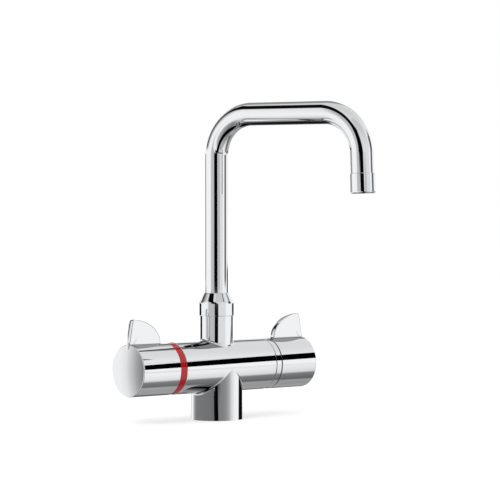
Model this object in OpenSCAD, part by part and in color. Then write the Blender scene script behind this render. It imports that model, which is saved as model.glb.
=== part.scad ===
// Thermostatic kitchen mixer tap: a barrel body on a pedestal, a temperature knob at the hot end,
// a flow knob at the other end, and a square-arched swivel spout in a boss between them.
// Millimetres. The origin is the centre of the pedestal's deck face. X runs along the barrel
// towards the flow knob, -Y is the front, where the user stands, and Z is up.

/* [Body] */
// Outside diameter of the barrel and of both knobs
body_d = 50; // [46:0.5:54]
// Length of the barrel between the two rings
barrel_l = 112.5; // [108:0.5:130]
// Outside diameter of the pedestal
pedestal_d = 49.8; // [47:0.1:49.8]
// Height of the barrel's axis above the deck
axis_h = 51.5; // [51:0.5:80]
// Outside diameter of the boss that carries the spout
boss_d = 31.4; // [31:0.1:34]
// Height of the boss's top face above the barrel's axis
boss_h = 49; // [47:0.5:60]

/* [Inlets] */
// Distance between the hot and the cold inlet
inlet_gap = 22; // [21:0.5:23]
// Core diameter of the hose thread in an inlet connector
hose_core_d = 9.2; // [8.4:0.1:10]
// Depth of the hose thread
hose_thread_l = 11; // [9:0.5:12]
// Distance between the two fixing stud holes
stud_gap = 31; // [30:0.5:33]
// Core diameter of a fixing stud hole
stud_core_d = 5; // [4.2:0.1:5.5]
// Depth of a fixing stud hole
stud_hole_l = 16; // [12:1:18]

/* [Knobs] */
// Length of a knob's grip, without its domed end
knob_l = 44.4; // [40:0.2:55]
// Height of a knob's domed end
knob_dome_h = 2; // [2:0.5:5]
// Thickness of a knob's wall
knob_wall = 2.5; // [2:0.1:3]
// Length of a wing along its knob
wing_l = 37.5; // [25:0.5:38]
// Height of a wing above its knob
wing_h = 23.5; // [15:0.5:32]
// Thickness of a wing
wing_t = 6; // [4:0.5:8]
// Lean of a wing's outer edge towards the barrel, at its top
wing_lean = 4.2; // [0:0.2:5]
// Width of the ring between the barrel and a knob
ring_l = 7; // [6.4:0.1:9]
// Travel of the temperature knob to either side of upright, in degrees
temperature_turn = 60; // [30:5:75]
// Travel of the flow knob from shut to full flow, in degrees
flow_turn = 90; // [60:5:110]
// Lead of the temperature spindle's screw thread
spindle_lead = 4; // [2:0.5:5]

/* [Spout] */
// Outside diameter of the spout tube
tube_d = 22; // [21.6:0.1:22.2]
// Wall of the spout tube
tube_wall = 1.5; // [1:0.1:1.8]
// Distance from the swivel axis to the middle of the down-turned end
spout_reach = 160; // [130:1:220]
// Height of the spout's level run above the deck, at its centre line
run_h = 295.5; // [240:0.5:340]
// Bend radius of the tube at its centre line
bend_r = 40; // [30:0.5:45]
// Outward lean of the down-turned end, in degrees
outlet_lean = 2; // [0:0.5:5]
// Distance from the level run's centre line down to the nozzle's mouth
outlet_drop = 76.5; // [72:0.5:110]
// Outside diameter of the nozzle
nozzle_d = 23.5; // [23:0.1:25]
// Length of the nozzle
nozzle_l = 19; // [17:0.5:22]
// Outside diameter of the collar that holds the spout down
collar_d = 33.2; // [31:0.1:36]
// Height of the collar above the boss
collar_h = 22.2; // [20:0.2:30]
// Angle of the spout from straight ahead towards the flow knob, in degrees
spout_angle = 18; // [-60:1:60]
// Swivel of the spout to either side of straight ahead, in degrees
spout_swing = 90; // [60:5:120]

/* [Hidden] */
$fn = 96;

// Finishes
chrome = [0.80, 0.82, 0.84];
brass = [0.78, 0.62, 0.32];
steel = [0.66, 0.67, 0.69];
red_plastic = [0.76, 0.08, 0.09];
white_plastic = [0.92, 0.92, 0.90];
grey_plastic = [0.55, 0.57, 0.60];
black_rubber = [0.10, 0.10, 0.11];
ceramic = [0.96, 0.95, 0.92];
copper = [0.80, 0.47, 0.30];

// Clearances
run_gap = 0.05;      // radial, between a turning shaft and its bore
slide_gap = 0.06;    // radial, between the spout's spigot and the boss
fit_gap = 0.1;       // between pieces that are fastened together
body_gap = 0.3;      // between pieces that move past each other
joint_line = 0.35;   // the fine line that shows between a ring and its knob
eps = 0.01;

// Edges
end_bevel = 0.6;     // ends of the barrel
ring_bevel = 0.4;    // rings, and the knobs' inner ends
rim_bevel = 0.8;     // rim of a knob's domed end
rim_slope = 1.25;    // rise of that bevel for each millimetre inwards
wing_corner = 2;     // top corner of a wing
wing_proud = 0.7;    // from a knob's rim out to the foot of its wing's outer edge

// Barrel stations, measured outwards from the middle of the barrel
half = barrel_l / 2;
spigot_l = 5;
ring_seat = 6.1;
spigot_d = body_d - 2 * ring_seat;
gland_d = spigot_d - 3.8;
gland_depth = 8.25;
gland_seat = half - gland_depth;
ring_end = half + ring_l;
knob_start = ring_end + joint_line;
knob_end = knob_start + knob_l;
ring_d = body_d - 0.5;

// Inlets
inlet_x = inlet_gap / 2;
port_d = 16;
port_depth = 29;
channel_d = 8;
connector_recess = 1;
connector_top = connector_recess + hose_thread_l + 1;
strainer_h = 3.5;
strainer_top = connector_top + strainer_h;
valve_d = port_d - 2 * fit_gap;
valve_seat_d = 7;
valve_seat_t = 2;
poppet_d = 9.6;
poppet_t = 1.6;
stem_d = 2.9;
spider_t = 1.5;
spider_low = port_depth - 2.7;
stem_top = port_depth - 1.1;
poppet_low = strainer_top + valve_seat_t + 0.05;
poppet_top = poppet_low + poppet_t;
check_wire_d = 0.6;
check_coil_d = 5.6;
check_turns = 4;

// Thermostatic cartridge, stations measured outwards along the hot end
cavity_end = inlet_x + 7.5;
cavity_step = inlet_x - 7;
inner_bore_d = 24;
main_bore_d = 29;
window_d = 5.6;
window_count = 8;
shuttle_bore_d = 17.7;
shuttle_d = shuttle_bore_d - 2 * run_gap;
shuttle_wall = 1.5;
shuttle_half = inlet_x - 1.5;
wax_d = 8;
wax_low = -inlet_x - 2;
wax_flange_z = inlet_x + 1;
wax_pin_d = 3;
wax_pin_top = wax_flange_z + 10;
ram_d = 14;
ram_low = wax_pin_top + body_gap;
ram_l = 8;
ram_travel = spindle_lead * temperature_turn / 360;
ram_thread_d = 8;
ram_thread_low = ram_low + 2;
spindle_foot = ram_low + ram_l + ram_travel + 0.5;
spindle_foot_t = 2;
stem_bore_d = 10.1;
shaft_d = stem_bore_d - 2 * run_gap;
neck_d = 22;
neck_end = knob_start + 0.4;
return_wire_d = 1;
return_coil_d = 14.6;
return_turns = 4;
return_low = -cavity_end + 1.5;

// O-rings: section diameter and the groove that holds it
o_ring = 2.2;
groove_l = 2.6;

// Knob fixing
spline_d = 9.6;
spline_flat = 8;
shaft_end = knob_start + 18.4;
insert_flange_d = 34;
insert_flange_t = 3;
insert_flange_z = knob_start + 3.4;
insert_sleeve_d = 16;
insert_end = insert_flange_z + 23;
knob_hub_d = 22;
knob_hub_z = insert_flange_z + insert_flange_t + 4;
knob_floor = 4.5;
stop_ring_d = gland_d + 2;
stop_ring_t = 4;
stop_ring_z = knob_start - 1.5;
tab_in_r = 13.3;
tab_out_r = 16;
tab_half_angle = 9;
stop_spare = 1.5;
knob_screw_d = 5;
knob_screw_z = knob_hub_z + 7;
knob_pad = knob_screw_d + 4;
hex_socket = 2.5;

// Flow cartridge, stations measured outwards along the other end
flow_cavity_z = inlet_x + 13;
flow_bore_d = 28;
transfer_d = 10;
disc_d = 22;
disc_t = 3.5;
disc_film = 0.05;
disc_low = flow_cavity_z + 3.5;
disc_mid = disc_low + disc_t;
disc_top = disc_mid + disc_film + disc_t;
foot_t = 2.4;
tongue_w = 3;
tongue_h = 1.6;
flow_flange_t = 2.5;
port_ring_d = 24.6;

// Boss and swivel
boss_top = axis_h + boss_h;
boss_bore_d = 25;
boss_floor = boss_top - 26.5;
collar_thread_d = 28;
collar_thread_l = 7;
tube_foot = boss_top - 10.5;
sleeve_d = boss_bore_d - 0.6;
sleeve_top = boss_top + 9.5;
spigot_bore_d = 17;
lower_ring_t = 0.45;
spigot_low = boss_floor + lower_ring_t + 0.02;
spigot_land_d = boss_bore_d - 2 * slide_gap;
collar_bore_d = sleeve_d + 0.4;
collar_lip_z = sleeve_top + 1;
stop_pin_d = 4;
stop_pin_z = boss_floor + 4.25;
stop_groove_r = 10.75;
stop_pin_r = 10.95;
stop_slot = stop_pin_d + 0.4;
stop_pin_angle = asin(stop_pin_d / 2 / stop_groove_r);
mixed_channel_d = 6.4;

// Spout path, in the spout's own plane
bend_out = 90 - outlet_lean;
bend_out_t = bend_r * tan(bend_out / 2);
tube_bore = tube_d - 2 * tube_wall;
bend_step = 0.02;    // the straight stretches are this much slimmer than the bends they enter
nozzle_top = outlet_drop - nozzle_l;
tube_tip = nozzle_top + 5;
nozzle_bore_d = nozzle_d - 2.7;
nozzle_seat = tube_tip + 1.5;
nozzle_seal_t = 1.5;
nozzle_round = 1.5;

// Frames of the three arms: local Z runs outwards, local X points up on the two knob ends
module hot_side() translate([0, 0, axis_h]) rotate([0, -90, 0]) children();
module flow_side() translate([0, 0, axis_h]) rotate([0, 90, 0]) rotate([0, 0, 180]) children();
module spout_side() rotate([0, 0, spout_angle - 90]) children();
module outlet() spout_side() translate([spout_reach, 0, run_h]) rotate([0, -outlet_lean, 0]) children();
module at(z) translate([0, 0, z]) children();

// Points of an arc, from angle a0 to a1
function arc(x, y, r, a0, a1, n) = [
  for (i = [0:n]) let (a = a0 + (a1 - a0) * i / n) [x + r * cos(a), y + r * sin(a)]
];

// A plain tube from height z0 to z1
module tube(outer, inner, z0, z1) {
  difference() {
    at(z0) cylinder(d = outer, h = z1 - z0);
    at(z0 - 1) cylinder(d = inner, h = z1 - z0 + 2);
  }
}

// A cylinder from height z0 to z1
module rod(d, z0, z1) at(z0) cylinder(d = d, h = z1 - z0);

// The same with a bevelled edge at both ends
module bevelled_rod(d, z0, z1, bevel) {
  r = d / 2;
  rotate_extrude()
    polygon([[0, z0], [r - bevel, z0], [r, z0 + bevel], [r, z1 - bevel], [r - bevel, z1], [0, z1]]);
}

// An O-ring whose inside touches its groove and whose outside touches the bore
module seal_ring(outer, z) {
  at(z) rotate_extrude() translate([outer / 2 - o_ring / 2, 0]) circle(d = o_ring, $fn = 32);
}

// Radial holes round a sleeve
module radial_holes(d, reach, z, count) {
  for (i = [0:count - 1])
    rotate([0, 0, i * 360 / count + 180 / count]) at(z) rotate([0, 90, 0]) cylinder(d = d, h = reach);
}

// A ring sector, for the stops' slots and tabs
module sector(in_r, out_r, z0, z1, a0, a1) {
  at(z0) rotate([0, 0, a0]) rotate_extrude(angle = a1 - a0)
    translate([in_r, 0]) square([out_r - in_r, z1 - z0]);
}

// One unbroken coil of wire, as a tube of rings along a helix with closed ends
module coil(coil_d, wire_d, z0, z1, turns) {
  sides = 6;
  per_turn = 12;
  steps = turns * per_turn;
  rise = z1 - z0 - wire_d;
  points = [
    for (i = [0:steps], k = [0:sides - 1])
      let (t = i * 360 / per_turn, a = k * 360 / sides, r = coil_d / 2 + wire_d / 2 * cos(a))
        [r * cos(t), r * sin(t), z0 + wire_d / 2 + rise * i / steps + wire_d / 2 * sin(a)]
  ];
  walls = [
    for (i = [0:steps - 1], k = [0:sides - 1])
      let (a = i * sides + k, b = i * sides + (k + 1) % sides) each [
        [a, a + sides, b], [b, a + sides, b + sides]
      ]
  ];
  near = [for (k = [1:sides - 2]) [0, k, k + 1]];
  last = steps * sides;
  far = [for (k = [1:sides - 2]) [last, last + k + 1, last + k]];
  polyhedron(points = points, faces = concat(walls, near, far));
}

// Casting: barrel, pedestal and boss in one, bored for both cartridges, the inlets and the spout
module mixer_body() {
  color(chrome) difference() {
    union() {
      hot_side() bevelled_rod(body_d, -half, half, end_bevel);
      hot_side() rod(spigot_d, -half - spigot_l, half + spigot_l);
      rod(pedestal_d, 0, axis_h);
      rod(boss_d, axis_h, boss_top);
    }
    hot_side() {
      rod(inner_bore_d, -cavity_end, cavity_step + eps);
      rod(main_bore_d, cavity_step, gland_seat + eps);
      rod(gland_d, gland_seat, half + spigot_l + 1);
    }
    flow_side() {
      rod(transfer_d, cavity_end - 1, flow_cavity_z + 1);
      rod(flow_bore_d, flow_cavity_z, gland_seat + eps);
      rod(gland_d, gland_seat, half + spigot_l + 1);
    }
    for (side = [-1, 1]) translate([side * inlet_x, 0, 0]) {
      rod(port_d, -1, port_depth);
      rod(channel_d, port_depth - 1, axis_h);
    }
    for (side = [-1, 1]) translate([0, side * stud_gap / 2, 0]) rod(stud_core_d, -1, stud_hole_l);
    rod(boss_bore_d, boss_floor, boss_top + 1);
    rod(collar_thread_d, boss_top - collar_thread_l - 0.3, boss_top + 1);
    mixed_channel();
    at(stop_pin_z) rotate([-90, 0, 0]) cylinder(d = stop_pin_d, h = boss_d);
    gasket_groove();
  }
}

// Slanted way from the flow cartridge's cavity up to the floor of the boss
module mixed_channel() {
  start = [0, 0, boss_floor + 2];
  finish = [flow_cavity_z + 9.5, 0, axis_h + flow_bore_d / 2 - 2.6];
  run = finish - start;
  translate(start) rotate([0, atan2(run[0], run[2]), 0]) cylinder(d = mixed_channel_d, h = norm(run));
}

// Groove under the pedestal for the base gasket
gasket_d = pedestal_d - 2.6;
gasket_w = 2;
gasket_h = 2.5;
module gasket_groove() tube(gasket_d, gasket_d - 2 * gasket_w, -1, gasket_h);

module base_gasket() {
  color(black_rubber) tube(gasket_d - 2 * fit_gap, gasket_d - 2 * gasket_w + 2 * fit_gap, 0, gasket_h);
}

// Inlet pieces, from the deck upwards
module inlet_connector(side) {
  color(brass) translate([side * inlet_x, 0, 0]) difference() {
    rod(port_d, connector_recess, connector_top);
    rod(hose_core_d, 0, connector_recess + hose_thread_l);
    rod(valve_seat_d, 0, connector_top + 1);
    translate([-port_d, -1, 0]) cube([2 * port_d, 2, connector_recess + 1.6]);
  }
}

module inlet_strainer(side) {
  color(grey_plastic) translate([side * inlet_x, 0, 0]) difference() {
    rod(valve_d, connector_top, strainer_top);
    rod(valve_d - 3, connector_top + 1.2, strainer_top + 1);
    rod(1.8, connector_top - 1, strainer_top);
    for (ring = [1, 2], i = [0:6 * ring - 1])
      rotate([0, 0, i * 60 / ring]) translate([2.4 * ring, 0, 0])
        rod(1.5, connector_top - 1, strainer_top);
  }
}

module check_valve_housing(side) {
  color(white_plastic) translate([side * inlet_x, 0, 0]) {
    difference() {
      tube(valve_d, valve_seat_d, strainer_top, port_depth - fit_gap);
      rod(valve_d - 3.4, strainer_top + valve_seat_t, spider_low);
      rod(valve_d - 5, spider_low - 1, port_depth + 1);
    }
    spider(valve_d - 4, stem_d + 2 * run_gap, spider_low, spider_low + spider_t);
  }
}

// Three arms that hold a guide hub inside a sleeve
module spider(outer, hole, z0, z1) {
  difference() {
    union() {
      rod(hole + 2.4, z0, z1);
      for (i = [0:2]) rotate([0, 0, i * 120]) translate([0, -0.8, z0]) cube([outer / 2, 1.6, z1 - z0]);
    }
    rod(hole, z0 - 1, z1 + 1);
  }
}

module check_poppet(side) {
  color(grey_plastic) translate([side * inlet_x, 0, 0]) {
    rod(poppet_d, poppet_low, poppet_top);
    rod(stem_d, poppet_top, stem_top);
  }
}

module check_spring(side) {
  color(steel) translate([side * inlet_x, 0, 0])
    coil(check_coil_d, check_wire_d, poppet_top + 0.02, spider_low - 0.02, check_turns);
}

// Thermostatic cartridge: windows for hot and cold round a bore in which the shuttle slides
module thermo_cartridge_body() {
  color(white_plastic) hot_side() difference() {
    union() {
      rod(inner_bore_d - 2 * fit_gap, -cavity_end + fit_gap, cavity_step + 1);
      rod(main_bore_d - 2 * fit_gap, cavity_step + fit_gap, gland_seat);
      rod(neck_d, gland_seat, neck_end);
    }
    rod(12, -cavity_end - 1, 0);
    rod(shuttle_bore_d, return_low, ram_low - 2);
    rod(ram_d + 2 * run_gap, ram_low - 3, spindle_foot + spindle_foot_t + run_gap);
    rod(stem_bore_d, 0, neck_end + 1);
    radial_holes(window_d, main_bore_d, inlet_x, window_count);
    radial_holes(window_d, main_bore_d, -inlet_x, window_count);
    tube(main_bore_d + 2, main_bore_d - 4, inlet_x - 4, inlet_x + 4);
    tube(inner_bore_d + 2, inner_bore_d - 3, -inlet_x - 4, -inlet_x + 4);
    for (z = cartridge_seal_stations())
      tube(z[1] + 2, z[1] - 2 * o_ring, z[0] - groove_l / 2, z[0] + groove_l / 2);
  }
}

// Each seal's station along the cartridge and the bore that it seals
function cartridge_seal_stations() = [
  [-cavity_end + 1.8, inner_bore_d],
  [cavity_step - 2.6, inner_bore_d],
  [inlet_x + 8, main_bore_d]
];

module thermo_cartridge_seals() {
  color(black_rubber) hot_side() for (z = cartridge_seal_stations()) seal_ring(z[1], z[0]);
}

// Gland nut that clamps a cartridge against its seat, with spanner slots
module gland_nut(seat) {
  difference() {
    tube(gland_d, neck_d + 2 * fit_gap, seat, stop_ring_z);
    for (i = [0, 90]) rotate([0, 0, i]) translate([-gland_d, -2.5, stop_ring_z - 3]) cube([2 * gland_d, 5, 4]);
  }
}

module thermo_cartridge_nut() color(brass) hot_side() gland_nut(gland_seat);
module flow_cartridge_nut() color(brass) flow_side() gland_nut(gland_seat + flow_flange_t);

// Sleeve that opens the hot windows as it closes the cold ones
module thermo_shuttle() {
  color(brass) hot_side() {
    tube(shuttle_d, shuttle_d - 2 * shuttle_wall, -shuttle_half, shuttle_half);
    spider(shuttle_d - shuttle_wall, wax_d, -2, 2);
  }
}

module wax_element() {
  color(copper) hot_side() {
    rod(wax_d, wax_low, wax_flange_z);
    rod(wax_d + 3, wax_flange_z, wax_flange_z + 2);
    rod(wax_pin_d, wax_flange_z + 2, wax_pin_top);
  }
}

module thermo_return_spring() {
  color(steel) hot_side()
    coil(return_coil_d, return_wire_d, return_low + 0.02, -shuttle_half - 0.02, return_turns);
}

// Spindle: a foot inside the cartridge, a shaft with a seal groove, and a flatted end for the knob
module spindle_shaft(foot) {
  difference() {
    rod(shaft_d, foot, neck_end + 1);
    tube(shaft_d + 2, shaft_d - 2 * o_ring + 0.4, spindle_seal_z - groove_l / 2, spindle_seal_z + groove_l / 2);
  }
  intersection() {
    rod(spline_d, neck_end + 1 - eps, shaft_end);
    translate([-spline_flat / 2, -spline_d, 0]) cube([spline_flat, 2 * spline_d, shaft_end + 1]);
  }
}
spindle_seal_z = gland_seat + 5;

module temperature_spindle() {
  color(brass) hot_side() {
    rod(ram_thread_d - 2 * run_gap, ram_thread_low + ram_travel + 0.4, spindle_foot + eps);
    rod(ram_d - 2 * fit_gap, spindle_foot, spindle_foot + spindle_foot_t);
    spindle_shaft(spindle_foot + spindle_foot_t - eps);
  }
}

// Ram on the spindle's thread, which pushes on the wax element's pin
module regulating_ram() {
  color(brass) hot_side() difference() {
    rod(ram_d, ram_low, ram_low + ram_l);
    rod(ram_thread_d, ram_thread_low, ram_low + ram_l + 1);
  }
}

module spindle_seal() {
  at(spindle_seal_z) rotate_extrude() translate([shaft_d / 2 - (o_ring - 0.2) / 2, 0])
    circle(d = o_ring - 0.2, $fn = 32);
}
module temperature_spindle_seal() color(black_rubber) hot_side() spindle_seal();
module flow_spindle_seal() color(black_rubber) flow_side() spindle_seal();

// Fixed ring on a gland nut, with a slot in which the knob insert's tab runs from a0 to a1
module stop_ring(a0, a1) {
  spare = tab_half_angle + stop_spare;
  difference() {
    tube(stop_ring_d, neck_d + 2 * fit_gap, stop_ring_z, stop_ring_z + stop_ring_t);
    sector(tab_in_r - body_gap, tab_out_r + body_gap, stop_ring_z + 1.2, stop_ring_z + stop_ring_t + 1,
           a0 - spare, a1 + spare);
  }
}

// The tab sits low on the ring when the wing is upright
module temperature_stop_ring() {
  color(white_plastic) hot_side() stop_ring(180 - temperature_turn, 180 + temperature_turn);
}
module flow_stop_ring() color(white_plastic) flow_side() stop_ring(180, 180 + flow_turn);

// Ring between the barrel and a knob, seated on the barrel's spigot
module barrel_ring() {
  difference() {
    bevelled_rod(ring_d, half + fit_gap, ring_end, ring_bevel);
    rod(spigot_d + 2 * fit_gap, 0, half + spigot_l + fit_gap);
    rod(stop_ring_d + 2 * fit_gap, 0, ring_end + 1);
  }
}
module hot_indicator_ring() color(red_plastic) hot_side() barrel_ring();
module flow_trim_ring() color(chrome) flow_side() barrel_ring();

// Plastic insert between spindle and knob, with the tab that meets the stops
module knob_insert() {
  difference() {
    union() {
      rod(insert_flange_d, insert_flange_z, insert_flange_z + insert_flange_t);
      rod(insert_sleeve_d, insert_flange_z, insert_end);
      sector(tab_in_r, tab_out_r, stop_ring_z + 1.6, insert_flange_z + eps,
             180 - tab_half_angle, 180 + tab_half_angle);
    }
    rod(spline_d + 1, 0, neck_end + 1 + body_gap);
    intersection() {
      rod(spline_d + 2 * fit_gap, 0, shaft_end + fit_gap);
      translate([-spline_flat / 2 - fit_gap, -spline_d, 0])
        cube([spline_flat + 2 * fit_gap, 2 * spline_d, 2 * shaft_end]);
    }
    at(knob_screw_z) rotate([0, -90, 0]) cylinder(d = knob_screw_d, h = insert_sleeve_d);
  }
}
module temperature_knob_insert() color(grey_plastic) hot_side() knob_insert();
module flow_knob_insert() color(grey_plastic) flow_side() knob_insert();

// Knob: a cup with a domed end, a hub inside and a wing on top
module knob() {
  dome_r = (pow(body_d / 2, 2) + pow(knob_dome_h, 2)) / (2 * knob_dome_h);
  inside_d = body_d - 2 * knob_wall;
  floor_z = knob_end - knob_floor;
  r = body_d / 2;
  outline = [
    [0, knob_start], [r - ring_bevel, knob_start], [r, knob_start + ring_bevel],
    [r, knob_end - rim_bevel], [0, knob_end - rim_bevel + rim_slope * r]
  ];
  difference() {
    union() {
      intersection() {
        rotate_extrude() polygon(outline);
        at(knob_end + knob_dome_h - dome_r) sphere(r = dome_r, $fn = 192);
      }
      wing();
    }
    difference() {
      rod(inside_d, knob_start - 1, floor_z);
      rod(knob_hub_d, knob_hub_z, floor_z + 1);
      translate([-body_d / 2, -knob_pad / 2, knob_screw_z - knob_pad / 2])
        cube([body_d / 2, knob_pad, knob_pad]);
    }
    rod(insert_sleeve_d, knob_start, insert_end + fit_gap);
    at(knob_screw_z) rotate([0, -90, 0]) cylinder(d = knob_screw_d, h = body_d);
  }
}

// Wing: a quarter of an ellipse that stands on the knob, with its outer edge run down into the dome
module wing() {
  root = body_d / 2 - knob_wall / 2;
  dome_root = body_d / 2 - 5.5;
  foot = knob_end + wing_proud;
  top = foot - wing_lean;
  crown = [
    for (i = [0:24]) let (a = 93 + 87 * i / 24)
      [top + (wing_l - wing_lean) * cos(a), body_d / 2 + wing_h * sin(a)]
  ];
  corner = arc(top - wing_corner, body_d / 2 + wing_h - wing_corner, wing_corner, 0, 80, 4);
  outline = concat(
    [[foot, dome_root], [foot, body_d / 2]], corner, crown,
    [[foot - wing_l, root], [knob_end - 3.5, root], [knob_end - 1.5, dome_root]]
  );
  rotate([-90, -90, 0]) at(-wing_t / 2) linear_extrude(wing_t) polygon(outline);
}
module temperature_knob() color(chrome) hot_side() knob();
module flow_knob() color(chrome) flow_side() knob();

// Grub screw that holds a knob on its spindle, under the knob
module knob_screw() {
  inner = spline_flat / 2 + fit_gap;
  outer = body_d / 2 - 0.8;
  at(knob_screw_z) rotate([0, -90, 0]) difference() {
    at(inner) cylinder(d = knob_screw_d, h = outer - inner);
    at(outer - 3) cylinder(d = hex_socket / cos(30), h = 4, $fn = 6);
  }
}
module temperature_knob_screw() color(steel) hot_side() knob_screw();
module flow_knob_screw() color(steel) flow_side() knob_screw();

// Flow cartridge: a sleeve that holds the two ceramic discs and guides the spindle
module flow_cartridge_body() {
  color(brass) flow_side() difference() {
    union() {
      rod(flow_bore_d - 2 * fit_gap, disc_low - 0.5, gland_seat);
      rod(gland_d - 2 * fit_gap, gland_seat, gland_seat + flow_flange_t);
      rod(neck_d, gland_seat, neck_end);
    }
    rod(disc_d + 2 * run_gap, disc_low - 1, disc_top + foot_t + 4);
    rod(stem_bore_d, 0, neck_end + 1);
    radial_holes(4.5, flow_bore_d, disc_top + foot_t + 1, 6);
    tube(flow_bore_d + 2, port_ring_d, disc_low + 1, disc_top + foot_t + 4.5);
    tube(flow_bore_d + 2, flow_bore_d - 2 * o_ring, gland_seat - 4, gland_seat - 4 + groove_l);
  }
}

module flow_cartridge_seals() {
  color(black_rubber) flow_side() {
    seal_ring(flow_bore_d, gland_seat - 4 + groove_l / 2);
    tube(disc_d - 1, disc_d - 6, flow_cavity_z, disc_low);
  }
}

// Two openings that the moving disc uncovers in a quarter turn
module disc_openings(z0, z1, turn) {
  for (side = [0, 180]) rotate([0, 0, side + turn]) translate([5.2, 0, 0]) rod(6, z0 - 1, z1 + 1);
}

module fixed_ceramic_disc() {
  color(ceramic) flow_side() difference() {
    rod(disc_d, disc_low, disc_mid);
    disc_openings(disc_low, disc_mid, 0);
  }
}

module moving_ceramic_disc() {
  color(ceramic) flow_side() difference() {
    rod(disc_d, disc_mid + disc_film, disc_top);
    disc_openings(disc_mid, disc_top, 90);
    translate([-disc_d, -tongue_w / 2 - fit_gap, disc_top - tongue_h - fit_gap])
      cube([2 * disc_d, tongue_w + 2 * fit_gap, tongue_h + 1]);
  }
}

module flow_spindle() {
  color(brass) flow_side() {
    difference() {
      rod(disc_d - 0.4, disc_top, disc_top + foot_t);
      disc_openings(disc_top, disc_top + foot_t, 90);
    }
    intersection() {
      rod(disc_d - 0.4, disc_top - tongue_h, disc_top + eps);
      translate([-disc_d, -tongue_w / 2, 0]) cube([2 * disc_d, tongue_w, 2 * disc_top]);
    }
    spindle_shaft(disc_top + foot_t - eps);
  }
}

// Straight and bent stretches of the spout, drawn once for the outside and once for the bore
module spout_form(d) {
  run_l = spout_reach - bend_out_t - bend_r;
  rod(d, tube_foot, run_h - bend_r);
  spout_bend(d, bend_r, 90, 90);
  translate([bend_r, 0, run_h]) rotate([0, 90, 0]) rod(d - bend_step, 0, run_l + bend_step);
  spout_bend(d, spout_reach - bend_out_t, outlet_lean, bend_out);
  translate([spout_reach, 0, run_h]) rotate([0, -outlet_lean, 0])
    rod(d - bend_step, -tube_tip, -bend_out_t + bend_step);
}

// A bend centred at x under the run, starting at angle a0 above the horizontal
module spout_bend(d, x, a0, turn) {
  translate([x, 0, run_h - bend_r]) rotate([90, 0, 0]) rotate([0, 0, a0])
    rotate_extrude(angle = turn) translate([bend_r, 0]) circle(d = d);
}

module spout_tube() {
  color(chrome) spout_side() difference() {
    spout_form(tube_d);
    spout_form(tube_bore);
  }
}

// Brass foot of the spout, which turns in the boss on two seals
module spout_spigot() {
  a0 = 90 - (spout_swing - spout_angle) - stop_pin_angle - stop_spare;
  a1 = 90 + (spout_swing + spout_angle) + stop_pin_angle + stop_spare;
  color(brass) difference() {
    union() {
      rod(spigot_land_d, spigot_low, tube_foot + 1);
      rod(sleeve_d, tube_foot, sleeve_top);
    }
    rod(spigot_bore_d, spigot_low - 1, sleeve_top);
    rod(tube_d, tube_foot, sleeve_top + 1);
    for (z = spout_seal_stations())
      tube(boss_bore_d + 2, spigot_land_d - 2 * o_ring, z - groove_l / 2, z + groove_l / 2);
    sector(stop_groove_r, boss_bore_d, stop_pin_z - stop_slot / 2, stop_pin_z + stop_slot / 2, a0, a1);
  }
}

function spout_seal_stations() = [tube_foot - 2.2, tube_foot - 6.2];

module spout_seals() {
  color(black_rubber) for (z = spout_seal_stations())
    at(z) rotate_extrude() translate([spigot_land_d / 2 - o_ring / 2, 0]) circle(d = o_ring, $fn = 32);
}

// Slide rings: the lower one lies on the boss's floor, the upper one turns with the spout
module lower_slide_ring() {
  color(white_plastic)
    tube(boss_bore_d - 2 * fit_gap, spigot_bore_d + 0.4, boss_floor, boss_floor + lower_ring_t);
}
module upper_slide_ring() color(white_plastic) tube(sleeve_d, tube_d, sleeve_top, collar_lip_z - 0.05);

// Collar screwed into the boss: it holds the spigot down and guides the tube at its lip
module spout_collar() {
  skirt = 9;
  top_d = tube_d + 3;
  fall = (collar_d - top_d) / 2;
  rise = collar_h - skirt;
  round_r = (fall * fall + rise * rise) / (2 * fall);
  outline = concat(
    [[0, 0], [collar_d / 2, 0]],
    arc(collar_d / 2 - round_r, skirt, round_r, 0, asin(rise / round_r), 8),
    [[0, collar_h]]
  );
  color(chrome) difference() {
    union() {
      at(boss_top) rotate_extrude() polygon(outline);
      rod(collar_thread_d - 2 * fit_gap, boss_top - collar_thread_l, boss_top + 1);
    }
    rod(collar_bore_d, boss_top - collar_thread_l - 1, collar_lip_z);
    rod(tube_d + 2 * fit_gap, 0, boss_top + collar_h + 1);
  }
}

// Grub screw at the back of the boss, whose tip runs in the spigot's groove
module swivel_stop_screw() {
  outer = boss_d / 2 - 0.4;
  color(steel) at(stop_pin_z) rotate([-90, 0, 0]) difference() {
    at(stop_pin_r) cylinder(d = stop_pin_d, h = outer - stop_pin_r);
    at(outer - 2) cylinder(d = hex_socket / cos(30), h = 3, $fn = 6);
  }
}

// Nozzle pieces, measured down from the level run
module nozzle_housing() {
  r = nozzle_d / 2;
  outline = concat(
    [[0, -nozzle_top], [0, -outlet_drop], [r - nozzle_round, -outlet_drop]],
    arc(r - nozzle_round, -outlet_drop + nozzle_round, nozzle_round, -75, 0, 5),
    [[r, -nozzle_top]]
  );
  color(chrome) outlet() difference() {
    rotate_extrude() polygon(outline);
    rod(tube_d, -tube_tip, 0);
    rod(tube_bore, -outlet_drop - 1, 0);
    rod(nozzle_bore_d, -outlet_drop - 1, -nozzle_seat);
  }
}

module nozzle_seal() {
  color(black_rubber) outlet()
    tube(nozzle_bore_d - 2 * fit_gap, nozzle_bore_d - 6, -nozzle_seat - nozzle_seal_t, -nozzle_seat);
}

module flow_straightener() {
  top = nozzle_seat + nozzle_seal_t;
  low = outlet_drop - 0.6;
  color(grey_plastic) outlet() difference() {
    rod(nozzle_bore_d - 2 * fit_gap, -low, -top);
    rod(nozzle_bore_d - 4, -low + 1.5, -top + 1);
    rod(2.2, -low - 1, 0);
    for (ring = [1, 2], i = [0:6 * ring - 1])
      rotate([0, 0, i * 60 / ring]) translate([3.1 * ring, 0, 0]) rod(2.2, -low - 1, -top);
  }
}

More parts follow.
